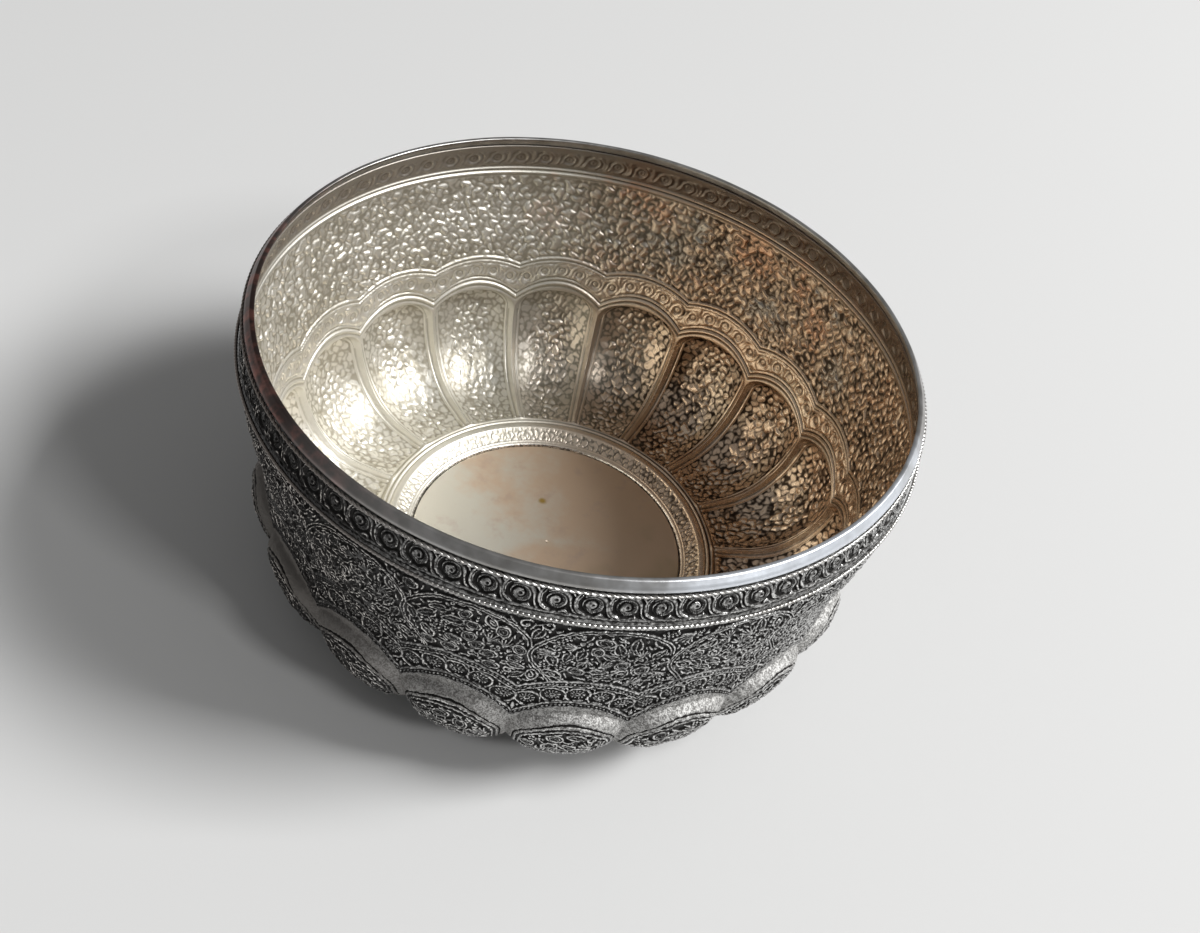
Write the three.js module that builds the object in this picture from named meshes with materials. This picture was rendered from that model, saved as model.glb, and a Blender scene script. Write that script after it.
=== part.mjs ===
// Silver bowl: a raised and chased sheet wall with eighteen lobes, a plain base disc let into
// its foot, a plain lip band on its edge, and two soldered wires round the outside.
// Millimetres, +Z up, origin at the centre of the face it rests on.
import * as THREE from 'three';

// Driving dimensions
const bowlHeight = 84;
const sheetThickness = 1.2;
const solderGap = 0.3;
const lobeCount = 18;
const lobeBulge = 3.6;
const footRadius = 40.6;
const footBevel = 0.5;
const floorRadius = 38.6;
const floorHeight = 2.0;
const lipHeight = 2.3;
const lipEdgeRadius = 80;
const lipEdgeWidth = 0.8;
const lipOuterFlare = 1.5;
const lipInnerFlare = 0.6;
const edgeBevel = 0.2;
const ropeWireRadius = 0.45;
const ropeWireHeight = 81.0;
const beadWireRadius = 0.4;
const beadWireHeight = 73.0;

// Where the chased lines and the lobes lie, measured down the wall from its top edge
const archTop = 35.8;
const archDrop = 5.8;
const innerArchTop = 45.0;
const innerArchDrop = 7.2;
const lobeTop = 49.4;
const lobeCornerDrop = 8.0;
const lobeShoulder = 4.6;
const lobeEndRun = 3.6;

// The line of the creases on the outside of the wall, from its top edge to its foot,
// as radius and height: it swells under the lip, draws in to a waist, and turns in to the base
const wallTop = bowlHeight - lipHeight - solderGap;
const creaseLine = new THREE.SplineCurve([
  new THREE.Vector2(81.4, wallTop),
  new THREE.Vector2(82.5, 77.0),
  new THREE.Vector2(83.2, 72.4),
  new THREE.Vector2(83.1, 66.8),
  new THREE.Vector2(82.3, 60.8),
  new THREE.Vector2(81.0, 54.8),
  new THREE.Vector2(79.8, 49.0),
  new THREE.Vector2(78.9, 43.4),
  new THREE.Vector2(78.3, 38.0),
  new THREE.Vector2(77.9, 32.4),
  new THREE.Vector2(77.3, 26.8),
  new THREE.Vector2(75.8, 20.5),
  new THREE.Vector2(72.8, 14.1),
  new THREE.Vector2(67.6, 8.2),
  new THREE.Vector2(61.2, 5.2),
  new THREE.Vector2(54.6, 4.4),
  new THREE.Vector2(48.8, 4.1),
  new THREE.Vector2(44.4, 4.0),
]);
creaseLine.arcLengthDivisions = 600;
const wallLength = creaseLine.getLength();

// Columns of the wall: each lobe has six, closer together beside its creases.
// A phase is 1 or -1 on a crease and 0 on the middle of a lobe.
const columnPhases = [-1, -0.82, -0.5, 0, 0.5, 0.82];
const ringSegments = 72;
const wireSides = 6;

const silver = (color, roughness) =>
  new THREE.MeshStandardMaterial({ color, roughness, metalness: 1 });

const clamp01 = (value) => Math.min(1, Math.max(0, value));

// Quarter-round rise from 0 to 1
const quarterRound = (value) => Math.sqrt(1 - (1 - clamp01(value)) ** 2);

// How far down the wall a lobe starts, at a phase: a round-cornered arch
const lobeStart = (phase) => {
  const corner = 1 - Math.sqrt(1 - Math.min(1, Math.abs(phase)) ** 2.5);
  return lobeTop + lobeCornerDrop * corner;
};

// How far the sheet is pushed out at a phase and a distance down the wall
function bulge(phase, down) {
  const across = 1 - Math.abs(phase) ** 3;
  const shoulder = quarterRound((down - lobeStart(phase)) / lobeShoulder);
  const end = quarterRound((wallLength - down) / lobeEndRun);
  const along = clamp01((down - lobeTop) / (wallLength - lobeTop));
  return lobeBulge * (1 - 0.5 * along ** 2) * across * shoulder * end;
}

// One point of the wall: depth 0 is the outer face and 1 the inner face
function wallPoint(phase, down, depth) {
  const place = clamp01(down / wallLength);
  const centre = creaseLine.getPointAt(place);
  const tangent = creaseLine.getTangentAt(place);
  const out = bulge(phase, down) - depth * sheetThickness;
  return [centre.x - tangent.y * out, centre.y + tangent.x * out];
}

// The rows of the wall from its top edge to its foot: each gives how far down it lies at a phase
const wallRows = [
  () => 0,
  () => 5,
  () => 10,
  () => 17,
  () => 26,
  (phase) => archTop - 6 + archDrop * 0.5 * phase ** 2,
  (phase) => archTop + archDrop * phase ** 2,
  (phase) => innerArchTop + innerArchDrop * phase ** 2,
  (phase) => lobeStart(phase),
  (phase) => lobeStart(phase) + lobeShoulder * 0.25,
  (phase) => lobeStart(phase) + lobeShoulder,
  (phase) => 66 + 0.4 * (lobeStart(phase) - lobeTop),
  () => 75,
  () => 83,
  () => wallLength - lobeEndRun,
  () => wallLength - lobeEndRun * 0.25,
  () => wallLength,
];

// The foot ring, between the two faces of the wall: it turns down to the flat face that the
// bowl rests on, and its bore holds the base disc
const footBore = floorRadius + solderGap;
const footSection = [
  [footRadius + footBevel, footBevel],
  [footRadius, 0],
  [footBore, 0],
  [footBore, floorHeight],
  [footBore + footBevel, floorHeight + edgeBevel],
];

// Joins rings of points, all with the same count, into one closed ring-shaped body.
// Its quads are split so that the two halves of each lobe mirror each other.
function closedRingBody(rings) {
  const columns = rings[0].length;
  const positions = rings.flat(2);
  const indices = [];
  for (let row = 0; row < rings.length; row++) {
    const nextRow = (row + 1) % rings.length;
    for (let column = 0; column < columns; column++) {
      const nextColumn = (column + 1) % columns;
      const a = row * columns + column;
      const b = row * columns + nextColumn;
      const c = nextRow * columns + column;
      const d = nextRow * columns + nextColumn;
      if (columnPhases[column % columnPhases.length] < 0) {
        indices.push(a, c, d, a, d, b);
      } else {
        indices.push(a, c, b, b, c, d);
      }
    }
  }
  const geometry = new THREE.BufferGeometry();
  geometry.setAttribute('position', new THREE.Float32BufferAttribute(positions, 3));
  geometry.setIndex(indices);
  geometry.computeVertexNormals();
  return geometry;
}

// One closed section turned round the bowl's axis
function turnedRing(section, segments) {
  const points = section.map(([radius, height]) => new THREE.Vector2(radius, height));
  const geometry = new THREE.LatheGeometry(points, segments);
  geometry.rotateX(Math.PI / 2);
  return geometry;
}

// The raised sheet, from the lip's seat down over the lobes to the foot, and back up inside
function bowlWall() {
  const columns = [];
  for (let lobe = 0; lobe < lobeCount; lobe++) {
    for (const phase of columnPhases) {
      columns.push({ phase, angle: ((lobe + 0.5 + phase / 2) * 2 * Math.PI) / lobeCount });
    }
  }
  const ringAt = (sectionPoint) =>
    columns.map(({ phase, angle }) => {
      const [radius, height] = sectionPoint(phase);
      return [radius * Math.cos(angle), radius * Math.sin(angle), height];
    });
  const outer = wallRows.map((row) => ringAt((phase) => wallPoint(phase, row(phase), 0)));
  const foot = footSection.map((point) => ringAt(() => point));
  const inner = wallRows.map((row) => ringAt((phase) => wallPoint(phase, row(phase), 1)));
  const mesh = new THREE.Mesh(
    closedRingBody([...outer, ...foot, ...inner.reverse()]),
    silver(0x9c968c, 0.38),
  );
  mesh.name = 'bowl_wall';
  return mesh;
}

// The plain flat disc soldered into the foot, which is the floor inside and the rest outside
function baseDisc() {
  const section = [
    [0, 0],
    [floorRadius, 0],
    [floorRadius, floorHeight - edgeBevel],
    [floorRadius - edgeBevel, floorHeight],
    [0, floorHeight],
  ];
  const mesh = new THREE.Mesh(turnedRing(section, ringSegments), silver(0xa89f92, 0.42));
  mesh.name = 'base_disc';
  return mesh;
}

// The plain strip on the wall's edge: its outer face slopes out to the twisted wire below it
function lipBand() {
  const bottom = bowlHeight - lipHeight;
  const innerEdge = lipEdgeRadius - lipEdgeWidth / 2;
  const outerEdge = lipEdgeRadius + lipEdgeWidth / 2;
  const section = [
    [innerEdge - edgeBevel, bowlHeight - edgeBevel],
    [innerEdge + lipInnerFlare, bottom],
    [outerEdge + lipOuterFlare, bottom],
    [outerEdge + edgeBevel, bowlHeight - edgeBevel],
    [outerEdge, bowlHeight],
    [innerEdge, bowlHeight],
    [innerEdge - edgeBevel, bowlHeight - edgeBevel],
  ];
  const mesh = new THREE.Mesh(turnedRing(section, ringSegments), silver(0xc9c6c2, 0.22));
  mesh.name = 'lip_band';
  return mesh;
}

// The wall's outer radius at a height above the waist
function wallRadiusAt(height) {
  let place = 0;
  while (creaseLine.getPointAt(place).y > height) place += 0.001;
  return creaseLine.getPointAt(place).x;
}

// A wire soldered round the outside of the wall
function wallWire(name, wireRadius, height) {
  const centreRadius = wallRadiusAt(height) + solderGap + wireRadius;
  const section = [];
  for (let side = 0; side <= wireSides; side++) {
    const turn = ((side % wireSides) / wireSides) * 2 * Math.PI;
    section.push([
      centreRadius + wireRadius * Math.cos(turn),
      height + wireRadius * Math.sin(turn),
    ]);
  }
  const mesh = new THREE.Mesh(turnedRing(section, ringSegments), silver(0xb5b0a8, 0.3));
  mesh.name = name;
  return mesh;
}

const bowl = new THREE.Group();
bowl.add(bowlWall());
bowl.add(baseDisc());
bowl.add(lipBand());
bowl.add(wallWire('rope_wire', ropeWireRadius, ropeWireHeight));
bowl.add(wallWire('beaded_wire', beadWireRadius, beadWireHeight));

export default bowl;
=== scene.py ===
# Silver bowl: a raised and chased sheet wall with eighteen lobes, a plain base disc, a plain
# lip band and two soldered wires. Sizes are in millimetres until a mesh is made from them.
import math

import bpy
import numpy as np
from mathutils import Matrix, Vector


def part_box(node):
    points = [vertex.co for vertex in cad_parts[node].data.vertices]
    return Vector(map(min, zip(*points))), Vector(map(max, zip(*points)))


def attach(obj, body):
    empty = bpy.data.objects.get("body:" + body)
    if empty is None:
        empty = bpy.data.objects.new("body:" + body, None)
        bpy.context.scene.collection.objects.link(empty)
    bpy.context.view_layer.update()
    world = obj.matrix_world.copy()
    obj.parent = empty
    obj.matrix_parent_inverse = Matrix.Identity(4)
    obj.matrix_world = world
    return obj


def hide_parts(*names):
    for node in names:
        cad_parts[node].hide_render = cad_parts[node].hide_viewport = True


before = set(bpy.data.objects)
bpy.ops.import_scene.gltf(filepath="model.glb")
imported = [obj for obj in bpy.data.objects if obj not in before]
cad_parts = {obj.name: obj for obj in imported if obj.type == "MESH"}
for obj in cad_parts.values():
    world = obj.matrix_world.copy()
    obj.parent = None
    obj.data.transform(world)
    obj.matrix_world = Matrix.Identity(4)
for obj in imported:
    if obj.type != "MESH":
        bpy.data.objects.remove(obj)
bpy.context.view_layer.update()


# The form of the wall. It is one sheet of silver, raised over stakes into a bowl that swells
# under the lip, draws in to a waist and turns in to its foot, and then pushed out from
# inside into eighteen lobes. The line runs down a crease between two lobes, on the outside.
MM = 0.001
LOBES = 18
LOBE_TURN = 2 * math.pi / LOBES
SHEET = 1.2
LOBE_BULGE = 3.6
LOBE_TOP = 49.4
LOBE_CORNER_DROP = 8.0
LOBE_END_RUN = 3.6
CREASE_LINE = np.array([
    (81.4, 81.4), (82.5, 77.0), (83.2, 72.4), (83.1, 66.8), (82.3, 60.8), (81.0, 54.8),
    (79.8, 49.0), (78.9, 43.4), (78.3, 38.0), (77.9, 32.4), (77.3, 26.8), (75.8, 20.5),
    (72.8, 14.1), (67.6, 8.2), (61.2, 5.2), (54.6, 4.4), (48.8, 4.1), (44.4, 4.0),
])


def smooth_line(points, steps):
    """A smooth line through points, with that many steps between each two."""
    points = np.asarray(points, float)
    ends = np.vstack([points[:1], points, points[-1:]])
    at = np.linspace(0, len(points) - 1, steps * (len(points) - 1) + 1)
    part = np.minimum(at.astype(int), len(points) - 2)
    t = (at - part)[:, None]
    a, b, c, d = (ends[part + k] for k in range(4))
    return 0.5 * (2 * b + (c - a) * t + (2 * a - 5 * b + 4 * c - d) * t**2
                  + (3 * b - a - 3 * c + d) * t**3)


crease = smooth_line(CREASE_LINE, 60)
crease_run = np.concatenate([[0], np.cumsum(np.hypot(*np.diff(crease, axis=0).T))])
crease_way = np.gradient(crease, axis=0)
crease_way /= np.hypot(crease_way[:, 0], crease_way[:, 1])[:, None]
WALL_LENGTH = crease_run[-1]
WAIST = 79.0


def quarter_round(value):
    """Rise from 0 to 1 as a quarter of a circle."""
    return np.sqrt(1 - (1 - np.clip(value, 0, 1)) ** 2)


def lobe_start(phase):
    """How far down the wall a lobe starts: a phase is 1 or -1 on a crease and 0 mid-lobe."""
    corner = 1 - np.sqrt(1 - np.minimum(1, np.abs(phase)) ** 2.5)
    return LOBE_TOP + LOBE_CORNER_DROP * corner


def bulge(phase, down, side_power, shoulder):
    """How far the sheet is pushed out into its lobes."""
    across = 1 - np.abs(phase) ** side_power
    top = quarter_round((down - lobe_start(phase)) / shoulder)
    end = quarter_round((WALL_LENGTH - down) / LOBE_END_RUN)
    along = np.clip((down - LOBE_TOP) / (WALL_LENGTH - LOBE_TOP), 0, 1)
    return LOBE_BULGE * (1 - 0.5 * along**2) * across * top * end


def wall_place(down, out):
    """Radius and height of a point that far down the wall and that far out from the crease line."""
    radius = np.interp(down, crease_run, crease[:, 0])
    height = np.interp(down, crease_run, crease[:, 1])
    way_out = np.interp(down, crease_run, crease_way[:, 0])
    way_up = np.interp(down, crease_run, crease_way[:, 1])
    return radius - way_up * out, height + way_out * out


# The chaser's marks. Each face of the sheet is a grid of rows down the wall and columns round
# it. It holds how high the silver stands: 1 is the level of the plain lines and 0 the sunk,
# blackened ground. Every motif is drawn in its own small window, as strokes of a given width.
COLUMNS_PER_LOBE = 160
COLUMNS = LOBES * COLUMNS_PER_LOBE
FINE_STEP, COARSE_STEP, FINE_END = 0.18, 0.28, 62.0
rng = np.random.default_rng(7)
turns = np.arange(COLUMNS) / COLUMNS * 2 * math.pi


def phase_at(turn):
    """Where a turn round the bowl lies on its lobe: -1 and 1 are its creases and 0 its middle."""
    return (turn / LOBE_TURN) % 1 * 2 - 1


phases = phase_at(turns)


def round_top(part):
    """The rounded section of a raised stroke, from its middle line (0) to its edge (1) and past it."""
    return np.sqrt(np.clip(1 - (part / 1.22) ** 2, 0, 1))


def stroke(x, y, points, widths, smooth=3):
    """Height from 0 to 1 of a raised stroke along points, with half-widths from end to end."""
    line = smooth_line(points, smooth) if len(points) > 2 else np.array(points, float)
    width = np.interp(np.linspace(0, 1, len(line)), np.linspace(0, 1, len(widths)), widths)
    ax, ay = line[:-1, 0, None, None], line[:-1, 1, None, None]
    bx, by = np.diff(line[:, 0])[:, None, None], np.diff(line[:, 1])[:, None, None]
    along = ((x - ax) * bx + (y - ay) * by) / (bx**2 + by**2 + 1e-9)
    along = np.clip(along, 0, 1)
    away = np.hypot(x - ax - along * bx, y - ay - along * by)
    half = width[:-1, None, None] * (1 - along) + width[1:, None, None] * along
    return round_top(away / half).max(axis=0)


def edge(distance, softness=0.14):
    """1 where distance is below 0 and 0 where it is above, with a soft step between."""
    return 1 / (1 + np.exp(np.clip(distance / softness * 2, -30, 30)))


class Face:
    """One face of the sheet, with its heights from 0 to 1."""

    def __init__(self, down):
        self.down = down
        self.radius = np.interp(down, crease_run, crease[:, 0])
        self.height = np.zeros((len(down), COLUMNS))

    def window(self, turn, down, reach):
        """The cells within reach of a place, and how far right of it and above it each lies."""
        low, high = np.searchsorted(self.down, (down - reach, down + reach))
        rows = np.arange(low, high)
        radius = np.interp(down, self.down, self.radius)
        side = math.ceil(reach / radius / (2 * math.pi / COLUMNS))
        first = round(turn / (2 * math.pi) * COLUMNS)
        columns = np.arange(first - side, first + side + 1)
        x, y = np.meshgrid((columns / COLUMNS * 2 * math.pi - turn) * radius, down - self.down[rows])
        return np.ix_(rows, columns % COLUMNS), x, y

    def mark(self, motif, turn, down, lean=0.0, size=1.0, reach=3.6, room=1.0):
        """Draws a motif centred at a turn round the bowl and a distance down its wall.

        With room it is left out, and this gives False, where more than that share of it
        would lie on marks that stand there already.
        """
        window, x, y = self.window(turn, down, reach)
        across = (x * math.cos(lean) + y * math.sin(lean)) / size
        upward = (y * math.cos(lean) - x * math.sin(lean)) / size
        if room < 1:
            needed = motif(across / 1.12, upward / 1.12) > 0.25
            if (needed & (self.height[window] > 0.25)).sum() > room * needed.sum():
                return False
        self.height[window] = np.maximum(self.height[window], motif(across, upward))
        return True

    def line(self, middle, half_width, height=1.0):
        """Raises a round-topped line all round the bowl: middle gives its place at each column."""
        part = np.abs(self.down[:, None] - middle) / half_width
        self.height = np.maximum(self.height, height * round_top(part))

    def plain(self, start, end, height=1.0):
        """Leaves the silver plain between two distances down the wall."""
        inside = (self.down[:, None] >= start) & (self.down[:, None] <= end)
        self.height = np.where(inside, np.maximum(self.height, height), self.height)

    def beads(self, middle, count, radius, height=1.0):
        """Raises a row of round beads all round the bowl."""
        place = turns * count / (2 * math.pi)
        pitch = 2 * math.pi * WAIST / count
        aside = ((place + 0.5) % 1 - 0.5) * pitch
        away = np.hypot(aside[None, :], self.down[:, None] - middle)
        self.height = np.maximum(self.height, height * round_top(away / radius))


def soften(grid, cells_down, cells_round):
    """Smooths a grid with a bell-shaped weight, round the bowl and down it."""
    for axis, sigma in ((1, cells_round), (0, cells_down)):
        reach = max(1, math.ceil(sigma * 2.5))
        weights = np.exp(-0.5 * (np.arange(-reach, reach + 1) / sigma) ** 2)
        weights /= weights.sum()
        if axis == 0:
            padded = np.pad(grid, ((reach, reach), (0, 0)), mode="edge")
            grid = sum(w * padded[k:k + grid.shape[0]] for k, w in enumerate(weights))
        else:
            grid = sum(w * np.roll(grid, k - reach, axis=1) for k, w in enumerate(weights))
    return grid


outer = Face(np.concatenate([np.arange(0, FINE_END, FINE_STEP),
                             np.arange(FINE_END, WALL_LENGTH - 0.1, COARSE_STEP), [WALL_LENGTH]]))


# The main scroll band, under the twisted wire: seventy-two volutes that all run the same way,
# each a hatched disc wound like a snail round a punched boss, and held by crescent-shaped stems.
# It is chased between a fine fillet above and a broad plain line below.
SCROLLS = 72
SCROLL_MIDDLE = 4.2


def scroll(x, y):
    """One volute of the main band: x is to the right and y up, from the middle of its place."""
    a, b = x - 0.28, y - 0.12
    far = np.hypot(a, b)
    round_it = np.degrees(np.arctan2(b, a))
    ticks = 0.5 + 0.5 * np.cos(np.radians(round_it) * 30)
    disc = edge(far - 2.14) * (0.92 - 0.34 * ticks * (np.abs(far - 1.6) < 0.3))
    rim = round_top((far - 2.0) / 0.22) * edge(np.abs(round_it - 30) - 70, 8)
    disc = np.maximum(disc, rim)
    turned = (round_it + 100) % 360 / 360
    disc *= 1 - np.exp(-((far - 0.8 - 1.3 * turned**1.5) / 0.2) ** 4)
    boss_dent = edge(np.hypot(a - 0.1, b - 0.06) - 0.17)
    parts = [
        np.maximum(disc, round_top((far - 0.5) / 0.36)) * (1 - boss_dent),
        stroke(x, y, [(-2.3, 2.75), (-3.0, 1.8), (-3.3, 0.4), (-3.1, -1.0), (-2.3, -2.05),
                      (-1.0, -2.6)], [0.16, 0.3, 0.36, 0.38, 0.46, 0.24]),
        stroke(x, y, [(-2.0, 2.2), (-2.62, 1.3), (-2.8, 0.2), (-2.6, -0.9)], [0.1, 0.15, 0.17, 0.12]),
        stroke(x, y, [(-1.5, 1.9), (-0.6, 2.45), (0.8, 2.6), (2.1, 2.2), (2.85, 1.2), (3.12, 0.0),
                      (3.35, -1.1), (3.9, -2.1), (4.7, -2.55)],
               [0.12, 0.28, 0.42, 0.62, 0.5, 0.27, 0.2, 0.3, 0.12]),
        stroke(x, y, [(1.1, -2.75), (2.1, -2.25), (3.0, -2.75)], [0.24, 0.4, 0.16]),
        stroke(x, y, [(3.2, 2.75), (3.6, 2.2), (3.9, 1.7)], [0.34, 0.26, 0.1]),
    ]
    return np.maximum.reduce(parts)


outer.plain(0, 0.95, 0.8)
outer.line(np.full(COLUMNS, 1.05), 0.24)
for unit in range(SCROLLS):
    outer.mark(scroll, (unit + 0.5 + rng.normal(0, 0.025)) * 2 * math.pi / SCROLLS, SCROLL_MIDDLE,
               lean=rng.normal(0, 0.05), size=rng.normal(1, 0.012), reach=5.2)


# The lines that part the bands: broad plain ridges, with a groove left for the beaded wire
# and two fine lines under it.
SCROLLS_END = 7.0
BEAD_GROOVE = (7.9, 9.2)
outer.height[outer.down > SCROLLS_END] = 0
outer.line(np.full(COLUMNS, 7.35), 0.5)
outer.plain(*BEAD_GROOVE, 0.78)
outer.line(np.full(COLUMNS, 9.5), 0.42)
outer.line(np.full(COLUMNS, 10.35), 0.2, 0.8)


# The arches. Two festoons of arches go round over the lobes, with a cusp on each crease: each
# is a broad line, a row of beads and a fine line. Small scrolls fill the space between them.
ARCH_TOP, ARCH_DROP = 35.8, 5.8
LOW_ARCH_TOP, LOW_ARCH_DROP = 45.0, 7.2
SMALL_SCROLLS = 90
ARCH_BEADS = LOBES * 29
HALF_LOBE = 13.7
arch = ARCH_TOP + ARCH_DROP * phases**2
low_arch = LOW_ARCH_TOP + LOW_ARCH_DROP * phases**2


def small_scroll(x, y):
    """One small scroll between the arches: a petalled disc under a curved stem."""
    far = np.hypot(x, y)
    round_it = np.arctan2(y, x)
    petals = 0.5 + 0.5 * np.cos(round_it * 12 + far * 1.6)
    disc = edge(far - 1.85) * np.where(far > 0.85, 0.3 + 0.65 * petals, 0.25)
    disc = np.maximum(disc, np.exp(-((far - 0.56) / 0.25) ** 4)) * (1 - edge(far - 0.26))
    parts = [
        disc,
        stroke(x, y, [(-1.4, -2.7), (-2.3, -1.9), (-2.72, -0.6), (-2.5, 0.9), (-1.5, 2.15), (0.2, 2.62),
                      (1.8, 2.1), (2.7, 0.7), (2.75, -0.8), (2.1, -2.2)],
               [0.12, 0.24, 0.2, 0.2, 0.26, 0.34, 0.42, 0.34, 0.24, 0.12]),
        stroke(x, y, [(-3.0, 2.7), (-2.6, 2.1), (-2.4, 1.6)], [0.3, 0.24, 0.1]),
        stroke(x, y, [(-0.6, -2.6), (0.6, -2.5), (1.6, -2.75)], [0.14, 0.3, 0.14]),
    ]
    return np.maximum.reduce(parts)


def clear_band(top, bottom):
    """Sinks the ground between two lines again, before what stands in it is chased."""
    here = (outer.down[:, None] > top) & (outer.down[:, None] < bottom)
    outer.height[here] = 0


for unit in range(SMALL_SCROLLS):
    turn = (unit + 0.5 + rng.normal(0, 0.02)) * 2 * math.pi / SMALL_SCROLLS
    phase = phase_at(turn)
    middle = (ARCH_TOP + LOW_ARCH_TOP) / 2 + 0.35 + (ARCH_DROP + LOW_ARCH_DROP) / 2 * phase**2
    slope = math.atan((ARCH_DROP + LOW_ARCH_DROP) * phase / HALF_LOBE)
    outer.mark(small_scroll, turn, middle, lean=-slope * 0.8 + rng.normal(0, 0.05),
               size=rng.normal(1.03, 0.02), reach=3.7)

clear_band(arch - 1.6, arch + 1.75)
clear_band(low_arch - 1.35, low_arch + 30)
outer.line(arch - 0.85, 0.6)
outer.beads(arch + 0.35, ARCH_BEADS, 0.42)
outer.line(arch + 1.25, 0.3)
outer.line(low_arch - 0.7, 0.6)
outer.beads(low_arch + 0.4, ARCH_BEADS, 0.42)
outer.line(low_arch + 1.2, 0.24)


def cusp_drop(x, y):
    """The small hanging bud that fills the corner over each crease."""
    drop = stroke(x, y, [(0, 1.3), (0.05, 0.2), (0, -1.1)], [0.2, 0.62, 0.14])
    side_beads = [round_top(np.hypot(x - a, y - 0.9) / 0.34) for a in (1.0, -1.0)]
    return np.maximum.reduce([drop, *side_beads])


for lobe in range(LOBES):
    outer.mark(cusp_drop, lobe * LOBE_TURN, LOW_ARCH_TOP + 4.5, reach=2.2)


# The flower field, between the lines and the arches. One double stem a lobe rises from the
# arch and curls over to the next, and leaves, rosettes, curls and buds fill the space on thin
# vines, over a black ground with small beads.
FIELD_TOP = 10.9
STEM = [(-6.2, 37.2), (-8.9, 32.6), (-11.6, 28.4), (-12.6, 24.6), (-11.9, 20.6), (-9.8, 17.2),
        (-7.2, 14.4), (-3.4, 12.4), (3.0, 11.6), (8.8, 12.4), (12.9, 14.6), (15.4, 17.8), (15.9, 20.5)]


def punched(x, y, spacing):
    """Small punched dots over a raised plate."""
    return 0.5 + 0.5 * np.cos(x * 2 * math.pi / spacing) * np.cos(y * 2 * math.pi / spacing)


def leaf(x, y):
    half = 1.3 * np.sqrt(np.clip(1 - (x / 2.5) ** 2, 0, 1)) * (1 - 0.15 * x)
    inside = half - np.abs(y)
    near_ends = edge(np.abs(x) - 2.5)
    outline = round_top((inside - 0.1) / 0.24) * near_ends
    veins = 0.5 + 0.5 * np.cos((x - np.abs(y) * 0.9) * 2 * math.pi / 0.68)
    plate = edge(0.5 - inside) * near_ends * (0.3 + 0.45 * veins)
    midrib = round_top(y / 0.18) * edge(np.abs(x) - 1.7)
    stalk = stroke(x, y, [(-3.5, -0.7), (-3.0, -0.3), (-2.3, 0.0)], [0.16, 0.2, 0.22])
    return np.maximum.reduce([outline, plate, 0.95 * midrib, stalk])


def ringed_leaf(x, y):
    far = np.hypot(x / 1.4, y)
    outline = round_top((far - 1.45) / 0.23)
    inner_line = round_top((far - 0.9) / 0.17)
    plate = edge(far - 0.66) * (0.35 + 0.55 * punched(x, y, 0.75))
    return np.maximum.reduce([outline, 0.95 * inner_line, plate, 0.28 * edge(far - 1.35)])


def folded_leaf(x, y):
    upper = [(-2.5, 0.5), (-1.7, 1.45), (-0.1, 1.7), (1.5, 1.1), (2.5, -0.2)]
    under = [(-2.5, 0.4), (-1.8, -0.5), (-0.3, -1.1), (1.2, -0.9), (2.4, -0.2)]
    inner_curl = [(-1.5, 0.1), (-0.4, 0.75), (0.7, 0.3), (0.4, -0.4), (-0.3, -0.2)]
    return np.maximum.reduce([
        stroke(x, y, upper, [0.14, 0.28, 0.4, 0.34, 0.12]),
        stroke(x, y, under, [0.12, 0.2, 0.24, 0.2, 0.12]),
        stroke(x, y, inner_curl, [0.16, 0.22, 0.22, 0.2, 0.24]),
    ])


def fan(x, y):
    fingers = [stroke(x, y, [(-1.7, 0.0), (math.cos(a) * 0.8 - 0.7, math.sin(a) * 1.0),
                             (math.cos(a) * 2.3 - 0.4, math.sin(a) * 2.0)], [0.12, 0.27, 0.16])
               for a in (-1.2, -0.72, -0.24, 0.24, 0.72, 1.2)]
    return np.maximum.reduce(fingers + [edge(np.hypot(x + 1.7, y) - 0.42)])


def rosette(x, y):
    far = np.hypot(x, y)
    round_it = np.arctan2(y, x)
    reach = 1.25 + 0.28 * np.cos(round_it * 6)
    petals = edge(far - reach) * (0.65 + 0.35 * np.cos(round_it * 6) * (far > 0.5))
    return np.maximum(petals * (1 - 0.9 * np.exp(-((far - 0.62) / 0.16) ** 4)), edge(far - 0.36))


def trefoil(x, y):
    spots = ((1.25, 0, 0.66), (0.1, 1.05, 0.58), (0.1, -1.05, 0.58))
    heads = np.maximum.reduce([edge(np.hypot(x - a, y - b) - r) for a, b, r in spots])
    dents = np.maximum.reduce([0.6 * edge(np.hypot(x - a, y - b) - 0.2) for a, b, _ in spots])
    stalk = stroke(x, y, [(-2.2, -0.5), (-1.1, 0.1), (0.1, 0.0)], [0.14, 0.2, 0.24])
    return np.maximum(heads - dents, stalk)


def curl(x, y):
    sweep = np.linspace(-0.8, 5.2, 12)
    size = np.linspace(1.7, 0.5, 12)
    points = np.stack([size * np.cos(sweep), size * np.sin(sweep)], 1)
    return np.maximum(stroke(x, y, points, [0.12, 0.3, 0.26, 0.22]), edge(np.hypot(x, y) - 0.32))


def bud(x, y):
    half = 0.66 * np.sqrt(np.clip(1 - ((x - 0.1) / 1.3) ** 2, 0, 1)) * (1 - 0.35 * x)
    return edge(np.abs(y) - half) * (0.6 + 0.4 * np.cos(y * 8)) * edge(np.abs(x) - 1.35)


def berries(x, y):
    spots = ((-0.75, 0.0), (0.1, 0.5), (0.15, -0.5), (0.95, 0.05))
    return np.maximum.reduce([round_top(np.hypot(x - a, y - b) / 0.36) for a, b in spots])


def dash(x, y):
    return stroke(x, y, [(-0.75, -0.12), (0.0, 0.14), (0.75, -0.06)], [0.12, 0.26, 0.14])


def bead(x, y):
    return round_top(np.hypot(x, y) / 0.38)


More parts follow.
